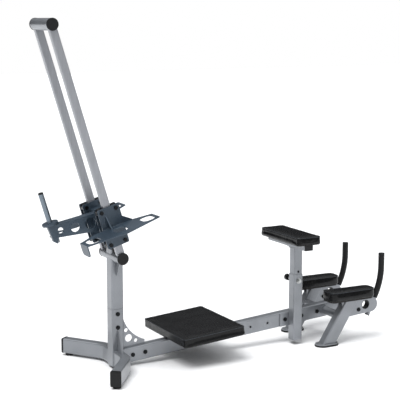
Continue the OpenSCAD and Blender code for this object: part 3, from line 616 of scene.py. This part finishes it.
PIPING_R = 1.5
for name, (outline, height, shoulder, crown, sewn, body, where) in PADS.items():
    made = cushions[name]
    shape = BVHTree.FromPolygons([v.co for v in made.data.vertices],
                                 [p.vertices for p in made.data.polygons])
    seam_z = height - shoulder * 0.35
    path = []
    for p in resampled(moved_in(outline, PIPING_R), 4):
        spot, normal = on_surface(shape, Vector((p.x, p.y, seam_z)) * MM)
        path.append(spot + normal * 0.5 * MM)
    points, faces = tube(path, [PIPING_R * MM] * len(path), 8, True)
    # the piping's lighter grey is a painted highlight along the shoulder, not the vinyl's own
    # colour
    piping = piece(name + "_piping", points, faces, piping_painted_highlight, body)
    points, faces = [], []
    # stitches 4 mm apart on the real cover, drawn 7 mm apart so that they show
    holes = resampled(moved_in(outline, sewn), 7)
    above = height + 8
    for here, ahead in zip(holes, holes[1:] + holes[:1]):
        a, up = on_surface(shape, Vector((here.x, here.y, above)) * MM)
        b = on_surface(shape, Vector((*here.lerp(ahead, 0.62), above)) * MM)[0]
        arch = [a, a.lerp(b, 0.2) + up * 0.6 * MM, a.lerp(b, 0.8) + up * 0.6 * MM, b]
        new_points, new_faces = tube(arch, [0.3 * MM, 0.55 * MM, 0.55 * MM, 0.3 * MM], 6)
        faces += [tuple(i + len(points) for i in face) for face in new_faces]
        points += new_points
    stitches = piece(name + "_stitching", points, faces, pad_thread, body)
    for part in (made, piping, stitches):
        part.data.transform(where)
        part.data.update()
    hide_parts(name)
    print(name, len(made.data.vertices), "points")

# %% [markdown]
# The frame is welded, and a weld bead is what joins the look of two tubes: a row of
# overlapping puddles about 3 mm apart. A thin tube whose thickness rises and falls at
# that pitch gives it, laid along each joint and painted like the steel round it.

# %% Weld beads
def weld(name, body, path, finish, radius=2.4, closed=False):
    """A rippled bead along a path in millimetres of the row frame."""
    lines = []
    spans = list(zip(path, path[1:] + path[:1] if closed else path[1:]))
    for a, b in spans:
        parts = max(1, round((b - a).length / 0.9))
        lines += [a.lerp(b, k / parts) for k in range(parts)]
    if not closed:
        lines.append(path[-1])
    walked, radii = 0.0, []
    for i, here in enumerate(lines):
        walked += (here - lines[i - 1]).length if i else 0.0
        ends = 1.0 if closed else min(1.0, 0.35 + min(i, len(lines) - 1 - i) / 4)
        radii.append(radius * (1 + 0.16 * math.cos(math.tau * walked / 3.2)) * ends * MM)
    points, faces = tube([p * MM for p in lines], radii, 8, closed)
    return piece(name, points, faces, finish, body)


def ring_path(centre, across, along, radius, count=48):
    """Points round a circle in the plane of two directions."""
    return [centre + (across * math.cos(math.tau * k / count)
                      + along * math.sin(math.tau * k / count)) * radius for k in range(count)]


# the rear legs' tube is welded to the post's side faces
POST_SIDE = 32
LEG_MIDDLE_Z = 51
for side, sign in (("right", -1), ("left", 1)):
    section = [Vector((POST_X / MM + p.x, sign * POST_SIDE, LEG_MIDDLE_Z + p.y))
               for p in rectangle(50.8, 76.2, 6)]
    weld("rear_leg_weld_" + side, "frame", section, silver_powder_coat, 2.2, True)

# the carriage's own directions: N points forward off the rails, R points up along them
N_AXIS = Vector((math.cos(RAIL_TILT), 0, math.sin(RAIL_TILT)))
Y = Vector((0, 1, 0))
R_AXIS = Vector((-math.sin(RAIL_TILT), 0, math.cos(RAIL_TILT)))


def on_slant(n, y, s):
    """A point of the leaning frame, in millimetres, in the row frame."""
    return Vector((POST_X / MM - 5, 0, 575)) + N_AXIS * n + Y * y + R_AXIS * s


# round the foot of the weight peg, and where each foot plate meets its side plate
DISC_TOP = on_slant(-262, 0, 277)
weld("peg_weld", "carriage", ring_path(DISC_TOP, N_AXIS, Y, 13.4),
     carriage_coat, 1.8, True)
PLATE_HALF, PLATE_SIDE, PLATE_TOP = 56, 118.6, 172.6
for side, sign in (("right", -1), ("left", 1)):
    weld("foot_plate_weld_" + side, "carriage",
         [on_slant(n, sign * PLATE_SIDE, PLATE_TOP) for n in (-PLATE_HALF, PLATE_HALF)],
         carriage_coat, 1.8)
print("welds laid")

# %% [markdown]
# The floor is one very wide matt white sheet. A soft lamp, far off above the left
# shoulder, is the key: it lights the whole sheet evenly, so no horizon shows, and it
# draws the bright lines along the tubes and the pads' edges. A weaker one fills the near
# side. The sky is nearly black at the horizon, as the flags of a product studio make it,
# which keeps black vinyl black; behind the object the lens itself sees plain white.

# %% Floor and light
backdrop, tree, shader = surface("matt_white_paper", "#F6F6F6", 0.95, Specular_IOR_Level=0.0)
# paper fibre clouds of 40 mm, just enough to be paper
fibre = add(tree, "ShaderNodeTexNoise", {"Scale": 1 / (40 * MM), "Detail": 2.0},
            {"Vector": place(tree)})
blend_colours(tree, shader, fibre.outputs["Fac"], "#F4F4F4", "#F8F8F8")
sheet_mesh = bpy.data.meshes.new("paper_floor")
sheet_mesh.from_pydata([(-30, -30, 0), (30, -30, 0), (30, 30, 0), (-30, 30, 0)], [], [(0, 1, 2, 3)])
sheet_mesh.materials.append(backdrop)
sheet = bpy.data.objects.new("paper_floor", sheet_mesh)
scene.collection.objects.link(sheet)


def soft_lamp(name, towards, strength, spread):
    """A distant lamp as wide as a soft box; towards is the way to the lamp."""
    lamp = bpy.data.lights.new(name, "SUN")
    lamp.energy, lamp.angle = strength, math.radians(spread)
    made = bpy.data.objects.new(name, lamp)
    made.rotation_mode = "QUATERNION"
    made.rotation_quaternion = (-Vector(towards)).to_track_quat("-Z", "Y")
    scene.collection.objects.link(made)


soft_lamp("key_lamp", (-0.4, -0.22, 0.92), 2.3, 32)
soft_lamp("near_fill", (0.25, -0.9, 0.6), 0.35, 60)
sky = bpy.data.worlds.new("studio_sky")
sky.use_nodes = True
tree = sky.node_tree
tree.nodes.clear()
where = add(tree, "ShaderNodeTexCoord")
height = add(tree, "ShaderNodeSeparateXYZ", {}, {"Vector": where.outputs["Generated"]})
ramp = add(tree, "ShaderNodeValToRGB", {}, {"Fac": height.outputs["Z"]})
dark_end, bright_end = ramp.color_ramp.elements
dark_end.position, dark_end.color = 0.3, (0.03, 0.03, 0.032, 1)
bright_end.position, bright_end.color = 0.85, (1.1, 1.12, 1.15, 1)
lit = add(tree, "ShaderNodeBackground", {"Strength": 1.0}, {"Color": ramp.outputs["Color"]})
seen = add(tree, "ShaderNodeBackground", {"Strength": 1.0, "Color": (1, 1, 1, 1)})
path = add(tree, "ShaderNodeLightPath")
chosen = add(tree, "ShaderNodeMixShader", {}, {0: path.outputs["Is Camera Ray"],
                                               1: lit.outputs[0], 2: seen.outputs[0]})
add(tree, "ShaderNodeOutputWorld", {}, {"Surface": chosen.outputs[0]})
scene.world = sky
scene.view_settings.view_transform = "Standard"
